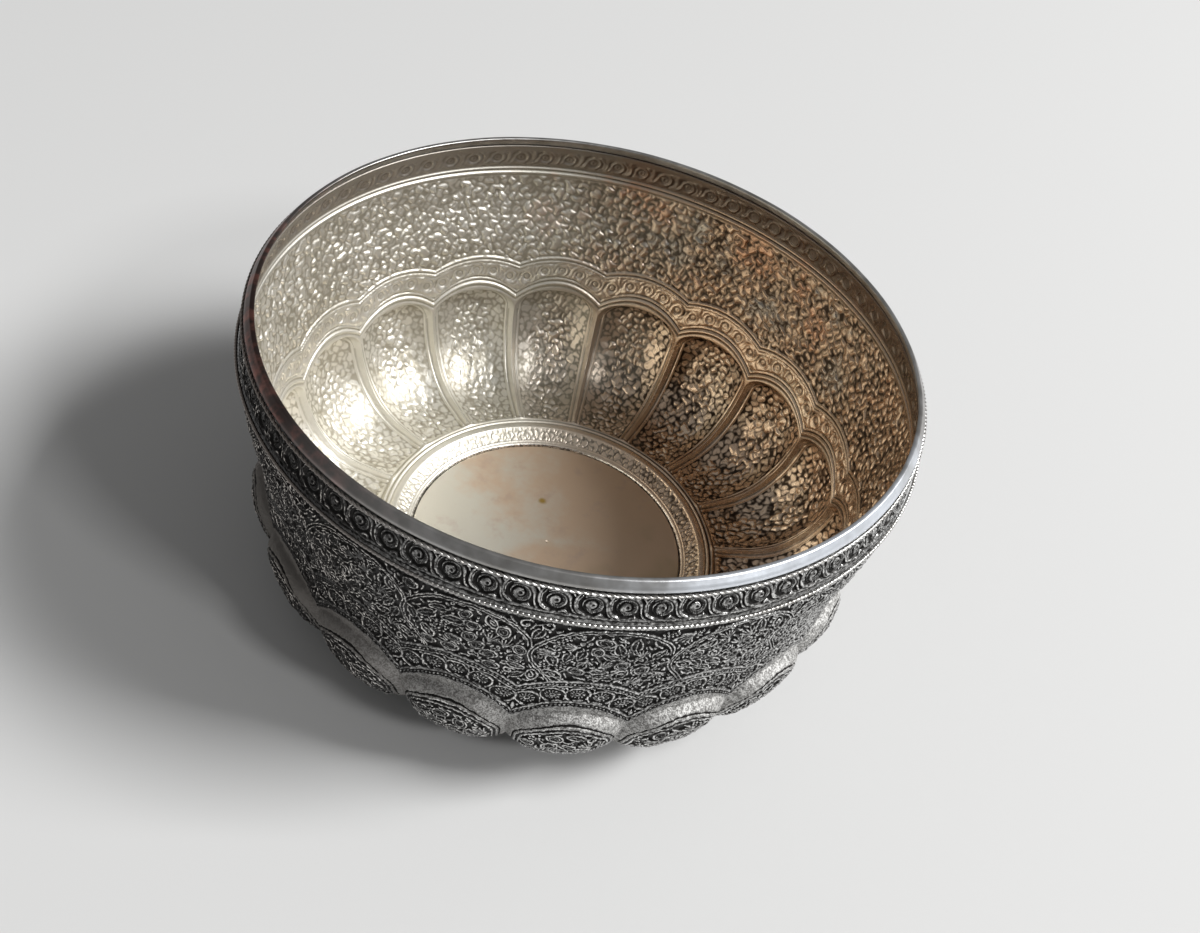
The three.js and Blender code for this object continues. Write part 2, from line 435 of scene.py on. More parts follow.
# Motifs, tries and reach, from the largest to the smallest, and the share of a motif that may
# lie on others
PLANTS = (
    ((leaf, ringed_leaf, folded_leaf, leaf, fan, ringed_leaf), 150, 4.0),
    ((rosette, curl, trefoil, folded_leaf, bud, curl), 240, 2.9),
    ((berries, bud, dash, trefoil), 420, 1.8),
    ((dash, bead), 650, 1.0),
)
PLANT_ROOM = 0.1


def chase_plants(lobe, low, high, half_across, centre, radius_at):
    """Fills one lobe's share of a field with plants, and joins the larger ones with thin vines."""
    middle_turn = (lobe + 0.5) * LOBE_TURN
    placed = []
    for step, (motifs, tries, reach) in enumerate(PLANTS):
        for _ in range(tries):
            right = rng.uniform(-1, 1) * half_across
            down = rng.uniform(low, high)
            lean = math.atan2(centre[1] - down, right - centre[0]) + 1.4 + rng.normal(0, 0.5)
            motif = motifs[int(rng.integers(len(motifs)))]
            drawn = outer.mark(motif, middle_turn + right / radius_at(down), down, lean=lean,
                               size=rng.uniform(0.84, 1.06), reach=reach, room=PLANT_ROOM)
            if drawn and step < 2:
                placed.append((right, down))
        if step == 1:
            chase_vines(middle_turn, placed, radius_at)


def chase_vines(middle_turn, placed, radius_at):
    """Joins each plant to the nearest one below it with a thin curved vine."""
    for right, down in placed:
        below = [(math.hypot(a - right, b - down), a, b) for a, b in placed if b > down + 0.6]
        gap, to_right, to_down = min(below, default=(9.0, 0, 0))
        if gap > 6.0:
            continue
        mid = ((right + to_right) / 2 + (to_down - down) * 0.25,
               (down + to_down) / 2 + (to_right - right) * 0.25)
        vine = [(0, 0), (mid[0] - right, down - mid[1]), (to_right - right, down - to_down)]
        outer.mark(lambda x, y: 0.85 * stroke(x, y, vine, [0.14, 0.18, 0.16], 4),
                   middle_turn + right / radius_at(down), down, reach=gap + 0.6)


def stem_points(offset):
    """The lobe's stem, moved sideways off its own line."""
    line = smooth_line(STEM, 3)
    way = np.gradient(line, axis=0)
    way /= np.hypot(way[:, 0], way[:, 1])[:, None]
    return line + offset * np.stack([-way[:, 1], way[:, 0]], 1)


def field_radius(down):
    """The wall's radius at a distance down it, over the field."""
    return float(np.interp(down, crease_run, crease[:, 0]))


STEM_MIDDLE = 24.0
FIELD_HALF, FIELD_CENTRE = 14.1, (1.0, 23.0)


for lobe in range(LOBES):
    shift, stretch = rng.normal(0, 0.8), rng.normal(1, 0.03)
    for offset, width in ((-0.42, 0.2), (0.34, 0.17)):
        stem = [(a * stretch + shift, STEM_MIDDLE - b) for a, b in stem_points(offset)]
        outer.mark(lambda x, y: stroke(x, y, stem, [width * 0.8, width, width], 1),
                   (lobe + 0.5) * LOBE_TURN, STEM_MIDDLE, reach=18)
for lobe in range(LOBES):
    chase_plants(lobe, FIELD_TOP + 0.5, ARCH_TOP + ARCH_DROP - 1.5, FIELD_HALF, FIELD_CENTRE,
                 field_radius)


# The lobes outside. A matt band of punched dots lies over each shoulder and down the sides,
# round an oval panel with a double border, where more leaves stand on a black ground.
PANEL_TOP, PANEL_END = 51.2, 95.5
PANEL_PHASE = 0.85
PANEL_TOP_ROUND, PANEL_END_ROUND = 11.0, 7.0
PANEL_HALF, PANEL_CENTRE = 11.0, (0.0, 74.0)
LOBE_OUT = 3.0
FOOT_BAND = WALL_LENGTH - 3.0


def lobe_radius(down):
    """The radius of the lobes' faces at a distance down the wall."""
    return field_radius(down) + LOBE_OUT


down_grid = outer.down[:, None] + 0 * phases
phase_grid = phases + 0 * down_grid
past_end = np.maximum.reduce([
    (PANEL_TOP + PANEL_TOP_ROUND - down_grid) / PANEL_TOP_ROUND,
    (down_grid - PANEL_END + PANEL_END_ROUND) / PANEL_END_ROUND,
    0 * down_grid,
])
panel_far = ((np.abs(phase_grid) / PANEL_PHASE) ** 2.1 + past_end**2 + 1e-4) ** 0.48
slope_down = np.gradient(panel_far, outer.down, axis=0)
column_width = (outer.radius[:, None] + LOBE_OUT) * 2 * math.pi / COLUMNS
slope_round = np.gradient(panel_far, axis=1) / column_width
border = (1 - panel_far) / np.maximum(np.hypot(slope_down, slope_round), 0.02)
in_panel = border > 0
over_lobe = down_grid > low_arch + 1.5
matt = over_lobe & ~in_panel & (down_grid < FOOT_BAND)
groove = np.exp(-((border + 0.45) / 0.2) ** 4)
lobe_height = np.where(in_panel, 0.0, 0.86 * (1 - 0.75 * groove))
for place, width in ((0.14, 0.32), (1.1, 0.28)):
    lobe_height = np.maximum(lobe_height, np.exp(-((border - place) / width) ** 4))
outer.height = np.where(over_lobe, lobe_height, outer.height)
for lobe in range(LOBES):
    chase_plants(lobe, PANEL_TOP + 1.5, PANEL_END - 1.5, PANEL_HALF, PANEL_CENTRE, lobe_radius)
outer.height[outer.down > FOOT_BAND] = 1.0
FACET_DEPTH = 0.16
grit = np.clip((soften(rng.random(outer.height.shape), 0.9, 2.0) - 0.5) * 6 + 0.5, 0, 1)
stipple = np.where(matt, grit, 0.5)
facets = (soften(rng.random(outer.height.shape), 1.3, 1.3) - 0.5) * 1.5
facets += (soften(rng.random(outer.height.shape), 4.0, 4.0) - 0.5) * 3.5
facets = np.clip(facets, -FACET_DEPTH, FACET_DEPTH)


# The inside face. The chasing shows through from behind, reversed and softer: faint scrolls
# under the lip, close-set pebbles behind the flower field and the panels, doubled lines behind
# the arches, and plain troughs with raised edges between the lobes.
INNER_STEP = 0.3
PLAIN_LEVEL = 0.5
inner_down = np.append(np.arange(0, WALL_LENGTH - 0.1, INNER_STEP), WALL_LENGTH)
inner = Face(inner_down)
inner_phases = phases[None, :] + 0 * inner_down[:, None]
inner_places = inner_down[:, None] + 0 * phases[None, :]


def pebbled_sheet(width, height, pitch, joined, cell=0.2):
    """Heights from 0 to 1 of a sheet worked from behind into pebbles with narrow grooves between.

    Some pebbles are joined into beans and worms, and some are larger, round and ringed.
    """
    ringed_share, dented_share = 0.15, 0.34
    jitter, waviness, groove_half = 0.32, 0.17 * pitch, 0.05 * pitch
    across, deep = round(width / pitch), math.ceil(height / pitch) + 4
    step = width / across
    i, j = np.arange(deep)[:, None], np.arange(across)[None, :]
    right = (j + 0.5 + 0.5 * (i % 2) + rng.uniform(-jitter, jitter, (deep, across))) * step
    down = (i - 1.5 + rng.uniform(-jitter, jitter, (deep, across))) * pitch
    size = rng.uniform(0, 0.3, (deep, across)) * pitch
    ringed = rng.random((deep, across)) < ringed_share
    size[ringed] = 0.42 * pitch
    dented = rng.random((deep, across)) < dented_share
    level = rng.uniform(0.7, 1.08, deep * across)
    group = np.arange(deep * across).reshape(deep, across)
    for a, b in zip(*np.nonzero((rng.random((deep, across)) < joined) & ~ringed)):
        other = (a, (b + 1) % across) if rng.random() < 0.45 else (max(a - 1, 0), b)
        if not ringed[other]:
            group[a, b] = group[other]
    columns, rows = round(width / cell), round(height / cell) + 2
    x, y = np.meshgrid(np.arange(columns) * cell, np.arange(rows) * cell)
    waves = 2 * math.pi * round(width / pitch / 1.7) / width
    x, y = (x + waviness * np.sin(y * 3.9 / pitch + 2 * np.sin(x * 0.9)),
            y + waviness * np.sin(x * waves + y * 1.7))
    home_i, home_j = np.floor(y / pitch).astype(int) + 2, np.floor(x / step).astype(int)
    steps = [(a, b) for a in range(-2, 3) for b in range(-3, 3)]

    def gap_to(a, b):
        """Distance to one of the pebbles near each cell, and which pebble that is."""
        row, column = np.clip(home_i + a, 0, deep - 1), home_j + b
        spot = (row, column % across)
        turned = np.floor_divide(column, across) * width
        return np.hypot(right[spot] + turned - x, down[spot] - y) - size[spot], spot

    nearest, own = np.full(x.shape, 1e9), np.zeros(x.shape, int)
    for a, b in steps:
        away, spot = gap_to(a, b)
        closer = away < nearest
        nearest = np.where(closer, away, nearest)
        own = np.where(closer, spot[0] * across + spot[1], own)
    own_group = group.ravel()[own]
    rival = np.full(x.shape, 1e9)
    for a, b in steps:
        away, spot = gap_to(a, b)
        rival = np.where(group[spot] != own_group, np.minimum(rival, away), rival)
    gap = np.minimum((rival - nearest) / 2, 0.66 * pitch - nearest)
    sheet = quarter_round((gap - groove_half) / (0.52 * pitch)) * level[own_group]
    middle = nearest + size.ravel()[own]
    sheet -= 0.55 * np.exp(-((middle - 0.5 * pitch) / (0.1 * pitch)) ** 2) * ringed.ravel()[own]
    sheet -= 0.5 * np.exp(-(middle / (0.17 * pitch)) ** 2) * dented.ravel()[own]
    return np.clip(sheet, 0, 1.1)


def picked(sheet, x, y, cell=0.2):
    """Heights of a worked sheet at places x and y."""
    u, v = x / cell, np.clip(y / cell, 0, sheet.shape[0] - 1.001)
    j, i = np.floor(u).astype(int), np.floor(v).astype(int)
    a, b = u - j, v - i
    j, beside = j % sheet.shape[1], (j + 1) % sheet.shape[1]
    upper = sheet[i, j] * (1 - a) + sheet[i, beside] * a
    lower = sheet[i + 1, j] * (1 - a) + sheet[i + 1, beside] * a
    return upper * (1 - b) + lower * b


INNER_ARCH_TOP, INNER_ARCH_DROP = 38.2, 2.9
INNER_LOW_TOP, INNER_LOW_DROP = 45.4, 5.7
TROUGH_PHASE = 0.88
SCROLLS_BEHIND = (1.8, 7.9)
FIELD_BEHIND = 11.4
PEBBLES_END, TROUGHS_END, LOBES_END = 95.6, 96.2, 97.4
FIELD_ROUND, FIELD_DEEP, FIELD_PITCH = 496.4, 34.0, 2.3
LOBE_SHEET, LOBE_DEEP, LOBE_PITCH = 30.0, 50.0, 2.1
inner_arch = INNER_ARCH_TOP + INNER_ARCH_DROP * phases**2
inner_low_arch = INNER_LOW_TOP + INNER_LOW_DROP * phases**2
trough_corner = 1 - np.sqrt(1 - np.minimum(1, np.abs(phases) / TROUGH_PHASE) ** 2.4)
trough_top = LOBE_TOP + 0.2 + LOBE_CORNER_DROP * trough_corner
field_sheet = pebbled_sheet(FIELD_ROUND, FIELD_DEEP, FIELD_PITCH, 0.5)
field_relief = picked(field_sheet, turns[None, :] * WAIST + 0 * inner_places, inner_places - 10.0)
lobe_sheet = pebbled_sheet(LOBES * LOBE_SHEET, LOBE_DEEP, LOBE_PITCH, 0.3)
lobe_right = inner_phases * LOBE_TURN / 2 * (inner.radius[:, None] + 2.5)
lobe_right += (np.floor(turns / LOBE_TURN) + 0.5)[None, :] * LOBE_SHEET
lobe_relief = picked(lobe_sheet, lobe_right, inner_places - 48.0)
behind = np.stack([np.interp(inner_down, outer.down, column) for column in
                   soften(outer.height, 2.0, 2.0).T], 1)
field_here = (inner_places > FIELD_BEHIND) & (inner_places < inner_arch - 1.1)
trough_side = (TROUGH_PHASE - np.abs(inner_phases)) * LOBE_TURN / 2 * (inner.radius[:, None] + 2)
trough_edge = np.minimum(trough_side, (inner_places - trough_top) * 0.9)
lobe_here = (trough_edge > 0.95) & (inner_places < PEBBLES_END)
scrolls_here = (inner_places > SCROLLS_BEHIND[0]) & (inner_places < SCROLLS_BEHIND[1])
small_here = (inner_places > inner_arch + 0.9) & (inner_places < inner_low_arch - 0.9)
inner_height = np.full(inner.height.shape, PLAIN_LEVEL)
inner_height = np.where(scrolls_here, 1.0 - 0.7 * behind, inner_height)
inner_height = np.where(small_here, 1.1 - 0.8 * behind, inner_height)
inner_height = np.where(field_here, field_relief, inner_height)
inner_height = np.where(lobe_here, lobe_relief, inner_height)
inner_height = soften(inner_height, 0.6, 1.0)


def back_of_scroll(x, y):
    """The grooves that a volute leaves on the inside: a ring and two bent strokes."""
    far = np.hypot(x, y)
    return np.maximum.reduce([
        np.exp(-((far - 1.25) / 0.3) ** 2), 0.8 * np.exp(-(far / 0.35) ** 2),
        stroke(x, y, [(-1.6, 2.2), (-2.6, 0.9), (-2.5, -0.8), (-1.4, -2.1)], [0.2, 0.34, 0.34, 0.2]),
        stroke(x, y, [(1.2, 2.1), (2.4, 1.3), (2.7, -0.2), (3.4, -1.6)], [0.2, 0.36, 0.3, 0.2]),
    ])


for unit in range(SCROLLS):
    inner.mark(back_of_scroll, (unit + 0.5) * 2 * math.pi / SCROLLS, SCROLL_MIDDLE + 0.4,
               lean=rng.normal(0, 0.1), size=rng.normal(0.95, 0.04), reach=3.6)
for unit in range(SMALL_SCROLLS):
    turn = (unit + 0.5) * 2 * math.pi / SMALL_SCROLLS
    middle = (INNER_ARCH_TOP + INNER_LOW_TOP) / 2
    drop = (INNER_ARCH_DROP + INNER_LOW_DROP) / 2 * phase_at(turn) ** 2
    inner.mark(back_of_scroll, turn, middle + drop, size=rng.normal(0.8, 0.04), reach=3.0)
inner_height -= 0.55 * soften(inner.height, 0.6, 1.2) * (scrolls_here | small_here)


def inner_line(heights, middle, width, height):
    """Raises a soft line inside, with a shallow groove on both of its sides."""
    part = (inner_places - middle) / width
    dip = 0.35 * np.exp(-((np.abs(part) - 1.8) / 0.6) ** 2)
    return np.maximum(heights - dip, height * np.exp(-part**2))


for middle, width, height in (
        (8.7, 0.42, 0.85), (10.2, 0.46, 0.95),
        (inner_arch - 0.7, 0.46, 0.92), (inner_arch + 0.6, 0.36, 0.85),
        (inner_low_arch - 0.6, 0.42, 0.85), (inner_low_arch + 0.9, 0.6, 0.95),
        (97.2, 0.42, 0.95), (98.7, 0.36, 0.9)):
    inner_height = inner_line(inner_height, middle, width, height)
trough_dip = np.exp(-((trough_edge - 1.1) / 0.25) ** 2) + np.exp(-((trough_edge + 0.15) / 0.25) ** 2)
trough_line = np.exp(-((trough_edge - 0.5) / 0.32) ** 2)
in_lobe = inner_places < TROUGHS_END
inner_height = np.maximum(inner_height - 0.3 * trough_dip * in_lobe, 0.95 * trough_line * in_lobe)


# The wall as one closed mesh: down the outside, round the foot ring, over the ring band
# beside the floor and up the inside. Its surface map is laid out the same way, and its ground
# and wear are kept on its points for the silver to use.
OUTER_DEPTH, INNER_DEPTH = 0.66, 0.8
LEAST_SILVER = 0.3
FOOT_SECTION = [(41.1, 0.5), (40.6, 0.0), (38.9, 0.0), (38.9, 2.0)]
FLOOR_EDGE = (39.4, 2.2)


def closed_rings(name, rings):
    """A closed mesh of quads over rings of points: each ring closes, and the last joins the first."""
    rows, columns, _ = rings.shape
    mesh = bpy.data.meshes.new(name)
    mesh.vertices.add(rows * columns)
    mesh.vertices.foreach_set("co", (rings * MM).astype(np.float32).ravel())
    i = np.repeat(np.arange(rows), columns)
    j = np.tile(np.arange(columns), rows)
    below, beside = (i + 1) % rows * columns, (j + 1) % columns
    corners = np.stack([i * columns + j, below + j, below + beside, i * columns + beside], 1)
    mesh.loops.add(corners.size)
    mesh.loops.foreach_set("vertex_index", corners.ravel().astype(np.int32))
    mesh.polygons.add(len(corners))
    mesh.polygons.foreach_set("loop_start", np.arange(0, corners.size, 4, dtype=np.int32))
    mesh.polygons.foreach_set("loop_total", np.full(len(corners), 4, np.int32))
    mesh.polygons.foreach_set("use_smooth", np.ones(len(corners), bool))
    mesh.update(calc_edges=True)
    around = np.stack([j, j, j + 1, j + 1], 1) / columns
    down = np.stack([i, i + 1, i + 1, i], 1) / rows
    layout = mesh.uv_layers.new(name="OFBake")
    layout.data.foreach_set("uv", np.stack([around, 1 - down], 2).astype(np.float32).ravel())
    mesh.validate()
    thing = bpy.data.objects.new(name, mesh)
    bpy.context.scene.collection.objects.link(thing)
    return thing


def point_values(thing, name, values):
    """Keeps one number a point on a mesh, for its material."""
    layer = thing.data.attributes.new(name, "FLOAT", "POINT")
    layer.data.foreach_set("value", np.asarray(values, np.float32).ravel())


def around(radius, height):
    """Points round the bowl at each of its turns."""
    return np.stack([radius * np.cos(turns), radius * np.sin(turns), height + 0 * turns], -1)


outer_out = bulge(phase_grid, down_grid, 3.0, 4.6) - (1 - outer.height) * OUTER_DEPTH
outer_out += facets * np.where(matt, 0.3, outer.height) + (stipple - 0.5) * 0.22 - 0.15
outer_radius, outer_level = wall_place(down_grid, outer_out)
inner_out = bulge(inner_phases, inner_places, 4.0, 3.6)
inner_out *= quarter_round((LOBES_END - inner_places) / 5.5)
near_floor = np.clip((WALL_LENGTH - inner_places) / 1.5, 0, 1)
inner_out -= SHEET + (inner_height - PLAIN_LEVEL) * INNER_DEPTH * near_floor
thinnest = np.minimum.reduce([np.roll(outer_out, k, axis=1) for k in (-2, 0, 2)])
thinnest = np.minimum.reduce([thinnest[np.clip(np.arange(len(thinnest)) + k, 0, len(thinnest) - 1)]
                              for k in (-2, 0, 2)])
thinnest = np.stack([np.interp(inner_down, outer.down, column) for column in thinnest.T], 1)
inner_out = np.minimum(inner_out, soften(thinnest, 1.5, 3.0) - LEAST_SILVER)
inner_radius, inner_level = wall_place(inner_places, inner_out)
outer_points = around(outer_radius, outer_level)
inner_points = around(inner_radius, inner_level)
foot_points = np.stack([around(np.full(COLUMNS, radius), height) for radius, height in FOOT_SECTION])

RING_STEPS = 24
RING_ROUND, RING_WIDTH, RING_PITCH = 264.0, 5.03, 1.55
RING_RADIUS = 42.0
ring_place = np.linspace(0, 1, RING_STEPS + 1)[1:, None]
ring_sheet = pebbled_sheet(RING_ROUND, RING_WIDTH, RING_PITCH, 0.2)
ring_right = turns[None, :] * RING_RADIUS + 0 * ring_place
ring_height = 0.15 + 0.7 * picked(ring_sheet, ring_right, ring_place * RING_WIDTH)
ring_height = np.where((ring_place > 0.16) & (ring_place < 0.78), ring_height, 0.35)
for middle, width in ((0.09, 0.06), (0.84, 0.05), (0.98, 0.06)):
    ring_height = np.maximum(ring_height, 1.1 * np.exp(-((ring_place - middle) / width) ** 2))
start_radius, start_level = inner_radius[-1], inner_level[-1]
ring_radius = start_radius + (FLOOR_EDGE[0] - start_radius) * ring_place
ring_level = start_level + (FLOOR_EDGE[1] - start_level) * ring_place + (ring_height - 0.4) * 0.36
ring_points = around(ring_radius, ring_level)

all_rings = np.concatenate([outer_points, foot_points, ring_points[::-1], inner_points[::-1]])
wall = closed_rings("wall", all_rings)
foot_ones = np.ones((len(FOOT_SECTION), COLUMNS))
wear = 0.62 * outer.height + 0.9 * (outer.height - soften(outer.height, 2.6, 2.6))
wear[(outer.down > BEAD_GROOVE[0] + 0.05) & (outer.down < BEAD_GROOVE[1] - 0.1)] = 0.7
relief = np.concatenate([wear, foot_ones, ring_height[::-1], inner_height[::-1]])
inside = np.concatenate([np.zeros_like(outer.height), 0 * foot_ones, np.ones_like(ring_height),
                         np.ones_like(inner_height)])
matting = np.concatenate([matt.astype(float), 0 * foot_ones, 0 * ring_height, 0 * inner_height])
point_values(wall, "relief", relief)
point_values(wall, "inside", inside)
point_values(wall, "matting", matting)
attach(wall, "root")
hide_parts("bowl_wall")


# The silver of the wall: worn bright on everything that stands up, black with old tarnish in
# the sunk ground outside, and inside a softer, warmer tarnish that is brown towards the right.
# Painted light and shade are in its colour too: painted shade over the left front outside,
# with painted glints on the tops there and in a fine mottle; and inside, painted shadow over
# the right half, darker grooves there, darker higher up and in a band under the lip.
class Wire:
    """A socket of a material. Sums and products of wires add Math nodes to its tree."""

    def __init__(self, tree, socket=None):
        self.tree = tree
        self.socket = socket

    def node(self, kind, settings, inputs, output=0):
        """Adds a node with its settings, and fills its inputs with values or wires."""
        added = self.tree.nodes.new(kind)
        for name, value in settings.items():
            setattr(added, name, value)
        for name, value in inputs.items():
            if isinstance(value, Wire):
                self.tree.links.new(value.socket, added.inputs[name])
            else:
                added.inputs[name].default_value = value
        return Wire(self.tree, added.outputs[output])

    def maths(self, operation, first, second, clamp=False):
        return self.node("ShaderNodeMath", {"operation": operation, "use_clamp": clamp},
                         {0: first, 1: second})

    def __add__(self, other):
        return self.maths("ADD", self, other)

    def __radd__(self, other):
        return self.maths("ADD", other, self)

    def __sub__(self, other):
        return self.maths("SUBTRACT", self, other)

    def __rsub__(self, other):
        return self.maths("SUBTRACT", other, self)

    def __mul__(self, other):
        return self.maths("MULTIPLY", self, other)

    def clamped(self):
        """The same value, kept between 0 and 1."""
        return self.maths("ADD", self, 0.0, clamp=True)

    def between(self, low, high):
        """0 below low, 1 above high, and a smooth rise between."""
        return self.node("ShaderNodeMapRange", {"interpolation_type": "SMOOTHSTEP"},
                         {"Value": self, "From Min": low, "From Max": high})

    def mix(self, none, full):
        """A colour from none where this wire is 0 to full where it is 1."""
        none, full = ((*shade, 1) if isinstance(shade, tuple) else shade for shade in (none, full))
        return self.node("ShaderNodeMix", {"data_type": "RGBA"}, {0: self, 6: none, 7: full}, output=2)

    def noise(self, scale, detail=3.0, roughness=0.55, stretch=(1, 1, 1)):
        """Smooth noise over the object, with its scale per metre."""
        place = self.node("ShaderNodeTexCoord", {}, {}, output="Object")
        place = self.node("ShaderNodeMapping", {}, {"Vector": place, "Scale": stretch})
        return self.node("ShaderNodeTexNoise", {}, {"Vector": place, "Scale": scale, "Detail": detail,
                                                    "Roughness": roughness})

    def kept(self, name):
        """A number kept on the mesh's points."""
        return self.node("ShaderNodeAttribute", {"attribute_name": name}, {}, output="Fac")


def new_silver(name):
    """A new material: its start wire and its main shader."""
    silver = bpy.data.materials.new(name)
    silver.use_nodes = True
    shader = silver.node_tree.nodes["Principled BSDF"]
    return silver, Wire(silver.node_tree), shader


def feed(wire, shader, socket):
    """Joins a wire to one of the shader's sockets."""
    wire.tree.links.new(wire.socket, shader.inputs[socket])


def compass(start):
    """How far east, north and up of the bowl's middle each place lies, in metres."""
    place = start.node("ShaderNodeTexCoord", {}, {}, output="Object")
    axes = start.node("ShaderNodeSeparateXYZ", {}, {"Vector": place})
    return [Wire(start.tree, axes.socket.node.outputs[side]) for side in "XYZ"]


def left_front_shade_reach(east, north, unevenness, low, high):
    """How far the painted shade over the left front reaches, from 0 to 1: its colour is darkened where
    shade falls on that side.
    """
    return (east * -10.6 + north * -6.1 + unevenness).between(low, high)


chased, start, shader = new_silver("chased_silver_finish")
relief = start.kept("relief")
inside = start.kept("inside")
matting = start.kept("matting")
east, north, up = compass(start)
blotch = start.noise(38, 4)
fine = start.noise(900, 3)
speck = start.noise(2600, 2)

# Painted shade: the colour of the left front outside is darkened where shade falls on it.
left_front_shade = left_front_shade_reach(east, north, (blotch - 0.5) * 0.5, 0.25, 0.95)
worn = (relief + (fine - 0.5) * 0.3).between(0.44, 1.02)
# Partly tarnish mottling and partly painted glints: a fine bright-and-dark mottle over the raised
# silver.
glint_and_tarnish_mottle = (start.noise(1300, 2) * 0.8 + blotch * 0.2).between(0.4, 0.58)
bright = glint_and_tarnish_mottle.mix((0.24, 0.236, 0.23), (0.97, 0.965, 0.95))
# Painted glints: within the painted shade of the left front, the highest tops stay bright.
shade_side_glints = (worn + (glint_and_tarnish_mottle - 0.5) * 0.4).between(0.74, 1.12)
bright = left_front_shade.mix(bright, shade_side_glints.mix((0.022, 0.019, 0.018), (0.62, 0.58, 0.54)))
outer_colour = worn.mix((0.014, 0.013, 0.012), bright)
dots = (speck * 0.6 + fine * 0.4).between(0.4, 0.6)
# The matt band is darkened with the same painted shade on the left front.
matt_colour = left_front_shade.mix(dots.mix((0.2, 0.195, 0.188), (0.6, 0.595, 0.58)), (0.2, 0.185, 0.17))
outer_colour = (matting * relief.between(0.3, 0.5)).mix(outer_colour, matt_colour)

# Brown tarnish and painted shadow: the inside turns warm brown towards the right, with a sharp edge
# where the shadow of the right wall falls.
brown_tarnish_and_shadow = (east * 22.0 + north * 3.0 + (blotch - 0.5) * 1.1 + 0.5).clamped()
inner_pale = blotch.between(0.3, 0.7).mix((0.66, 0.635, 0.56), (0.79, 0.77, 0.71))
inner_warm = blotch.between(0.3, 0.7).mix((0.82, 0.59, 0.42), (0.97, 0.77, 0.58))
# Painted shade: the warm tone on the right darkens higher up the wall.
inner_warm = up.between(0.036, 0.05).mix(inner_warm, (0.7, 0.51, 0.36))
inner_bright = brown_tarnish_and_shadow.mix(inner_pale, inner_warm)
# Painted shade: the grooves are pale on the lit left and nearly black on the shaded right.
inner_dark = brown_tarnish_and_shadow.mix((0.42, 0.39, 0.32), (0.045, 0.03, 0.021))
inner_worn = (relief - brown_tarnish_and_shadow * 0.02 + (fine - 0.5) * 0.2).between(0.02, 0.6)
inner_colour = inner_worn.mix(inner_dark, inner_bright)
old_field = (north * 12.0 + east * 4.0).between(0.55, 0.95) * up.between(0.04, 0.055)
rainbow = start.noise(70, 3, 0.6)
red_patch = rainbow.between(0.5, 0.62) * old_field
blue_patch = (1 - rainbow.between(0.34, 0.46)) * old_field
inner_colour = (red_patch * 0.45 * inner_worn).mix(inner_colour, (0.72, 0.33, 0.17))
inner_colour = (blue_patch * 0.55 * inner_worn).mix(inner_colour, (0.28, 0.36, 0.38))
# Painted shade: a darker band just under the lip inside, strongest towards the right.
under_lip_shade = up.between(0.0725, 0.0745) * (brown_tarnish_and_shadow * 0.25 + 0.64)
inner_colour = under_lip_shade.mix(inner_colour, (0.19, 0.155, 0.13))
feed(inside.mix(outer_colour, inner_colour), shader, "Base Color")
outer_gloss = 0.44 - worn * 0.28 + matting * 0.27
inner_gloss = 0.6 - brown_tarnish_and_shadow * 0.27 - inner_worn * 0.08 + (fine - 0.5) * 0.1
feed(outer_gloss * (1 - inside) + inner_gloss * inside, shader, "Roughness")
feed((worn * 0.3 + 0.7) * (1 - inside) + inside * 0.94, shader, "Metallic")
bumps = start.node("ShaderNodeBump", {}, {"Strength": 0.4, "Distance": 0.0002,
                                          "Height": fine + speck * matting * 2.5})
feed(bumps, shader, "Normal")
wall.data.materials.append(chased)


# The base disc is a plain sheet of silver soldered into the foot: it is the floor inside and
# the face the bowl rests on. Its top is smooth and satin, a little uneven from the hammer,
# with cloudy tarnish and one small yellow stain.
DISC_EDGE = 0.35
DISC_COLUMNS = 288
_, disc_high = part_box("base_disc")
disc_radius = disc_high[0] / MM
disc_top = disc_high[2] / MM
disc_turns = np.arange(DISC_COLUMNS) / DISC_COLUMNS * 2 * math.pi
disc_steps = np.concatenate([[0.01], np.linspace(0.8, disc_radius - DISC_EDGE, 74)])
disc_rows = [(radius, disc_top) for radius in disc_steps]
disc_rows += [(disc_radius - DISC_EDGE * (1 - math.sin(a)), disc_top - DISC_EDGE * (1 - math.cos(a)))
              for a in np.linspace(0.3, math.pi / 2, 5)]
disc_rows += [(disc_radius, 0.2), (disc_radius - 0.2, 0.0)]
disc_rows += [(radius, 0.0) for radius in np.linspace(disc_radius - 2, 0.01, 20)]
disc_rings = np.array([[(radius * math.cos(a), radius * math.sin(a), height) for a in disc_turns]
                       for radius, height in disc_rows])
swell = sum(0.02 * np.sin(disc_rings[..., 0] * f + g) * np.sin(disc_rings[..., 1] * h + g * 2)
            for f, g, h in ((0.11, 0.4, 0.13), (0.23, 1.9, 0.19), (0.41, 3.1, 0.37)))
is_top = (np.arange(len(disc_rows)) < len(disc_steps) - 1)[:, None]
disc_rings[..., 2] += np.where(is_top, swell - 0.04, 0)
disc = closed_rings("base_plate", disc_rings)
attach(disc, "root")
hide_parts("base_disc")

